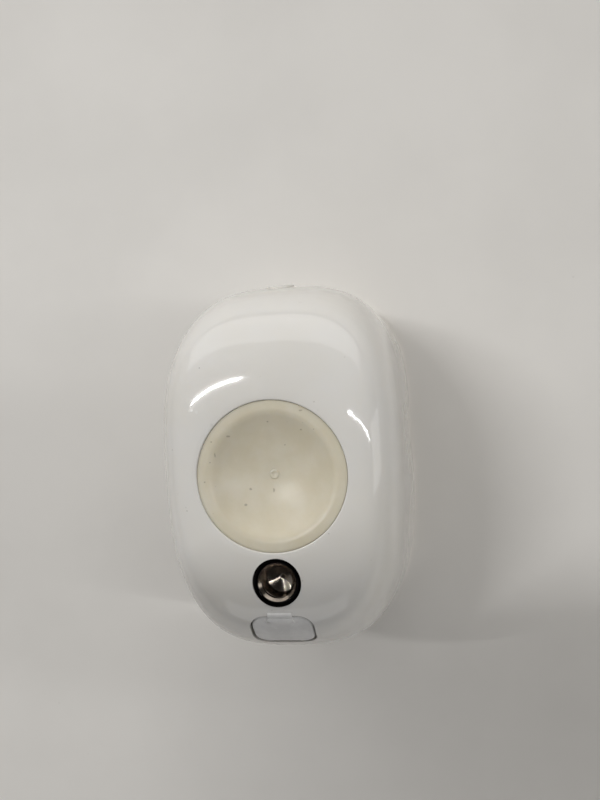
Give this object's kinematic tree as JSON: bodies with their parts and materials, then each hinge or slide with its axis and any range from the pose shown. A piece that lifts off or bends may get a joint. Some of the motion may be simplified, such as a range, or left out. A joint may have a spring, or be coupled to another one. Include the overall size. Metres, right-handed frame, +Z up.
{
  "type": "wireless security camera",
  "caption": "Upright pebble-shaped battery camera with a dished magnetic mount seat, a threaded insert and a rubber-covered charging inlet in its rear.",
  "frame": {"origin": "on the mounting insert's axis, halfway along its thread", "axes": "+Z up, the lens looks along -Y, the mounting insert and bowl face +Y, +X on the right hand of someone the lens looks at"},
  "size_m": [0.0489, 0.0705, 0.0799],
  "materials": {
    "shell_white": "smooth gloss, lightly scuffed",
    "frame_white": "smooth gloss",
    "bowl_cream": "satin, yellowed, with fine marks",
    "steel_plate": "plated",
    "dark_nickel": "dark plated",
    "flap_rubber": "satin",
    "button_white": "smooth gloss",
    "face_black": "mirror gloss",
    "adhesive_grey": "foam tape",
    "lens_glass": "coated",
    "lens_black": "satin",
    "pir_white": "faceted, translucent",
    "metal_can": "tinned",
    "board_green": "solder mask",
    "chip_black": "moulded",
    "led_clear": "clear moulded",
    "thermal_blue": "soft",
    "heat_aluminium": "brushed",
    "screw_steel": "zinc plated",
    "chassis_grey": "fine texture",
    "gold": "plated",
    "battery_white": "satin gloss",
    "aerial_foil": "copper on film",
    "coax_black": "sleeve",
    "speaker_black": "moulded",
    "foam_black": "foam",
    "wire_red": "sleeve",
    "gasket_grey": "satin",
    "spring_steel": "wire",
    "filter_coat": "coated"
  },
  "bodies": {
    "rear_housing": {"rear_housing": "shell_white", "magnet_plate": "steel_plate", "mount_bowl": "bowl_cream", "tripod_insert": "dark_nickel", "usb_strap_root": "flap_rubber"},
    "front_module": {"front_frame": "frame_white", "seam_gasket": "gasket_grey", "front_window": "face_black", "window_adhesive": "adhesive_grey", "lens_bezel": "lens_black", "lens_cover": "lens_glass", "lens_barrel": "lens_black", "front_lens": "lens_glass", "rear_lens": "lens_glass", "lens_holder": "lens_black", "filter_coil": "chip_black", "image_sensor": "chip_black", "sensor_board": "board_green", "led_board": "board_green", "infrared_leds": "led_clear", "pir_lens": "pir_white", "pir_sensor": "metal_can", "pir_board": "board_green", "board_screws": "screw_steel", "microphone": "metal_can", "microphone_boot": "coax_black", "light_sensor": "led_clear", "main_board": "board_green", "processor": "chip_black", "thermal_pad": "thermal_blue", "heat_plate": "heat_aluminium", "shield_cans": "metal_can", "board_connector": "battery_white", "status_led": "led_clear", "light_pipe": "led_clear", "chassis": "chassis_grey", "case_screws": "screw_steel", "contact_block": "chip_black", "contact_pins": "gold", "inlet_board": "board_green", "inlet_header": "battery_white", "inlet_socket": "metal_can", "switch_board": "board_green", "sync_switch": "chip_black", "aerials": "aerial_foil", "coax_plugs": "gold", "coax_leads": "coax_black", "speaker": "speaker_black", "speaker_foam": "foam_black", "speaker_wires": "wire_red", "latch_spring": "spring_steel"},
    "battery": {"battery_pack": "battery_white", "battery_terminals": "gold"},
    "latch": {"latch_button": "frame_white"},
    "sync_button": {"sync_button": "button_white"},
    "usb_flap": {"usb_flap": "flap_rubber"},
    "ir_filter": {"filter_frame": "lens_black", "filter_panes": "filter_coat"}
  },
  "joints": [
    {"name": "front_module_slide", "type": "slide", "parent": "rear_housing", "child": "front_module", "axis": [0, -1, 0], "range_m": [0, 0.08]},
    {"name": "battery_slide", "type": "slide", "parent": "front_module", "child": "battery", "axis": [0, 1, 0], "range_m": [0, 0.0336]},
    {"name": "latch_press", "type": "slide", "parent": "front_module", "child": "latch", "axis": [0, 0, 1], "range_m": [0, 0.0015], "stiffness_N_per_m": 700, "springref_m": -0.0005, "deforming": ["latch_spring"]},
    {"name": "sync_press", "type": "slide", "parent": "rear_housing", "child": "sync_button", "axis": [0, 0, -1], "range_m": [0, 0.0004], "stiffness_N_per_m": 1500, "springref_m": -0.0002},
    {"name": "flap_hinge", "type": "hinge", "parent": "rear_housing", "child": "usb_flap", "pos_m": [0, 0.00214, -0.00718], "axis": [1, 0, 0], "range_deg": [0, 130], "stiffness_Nm_per_rad": 0.0006, "springref_deg": -5.73},
    {"name": "ir_filter_slide", "type": "slide", "parent": "front_module", "child": "ir_filter", "axis": [1, 0, 0], "range_m": [0, 0.0056]}
  ],
  "couplings": [
    {"joint": "battery_slide", "follows": "front_module_slide", "ratio": 0.42}
  ]
}
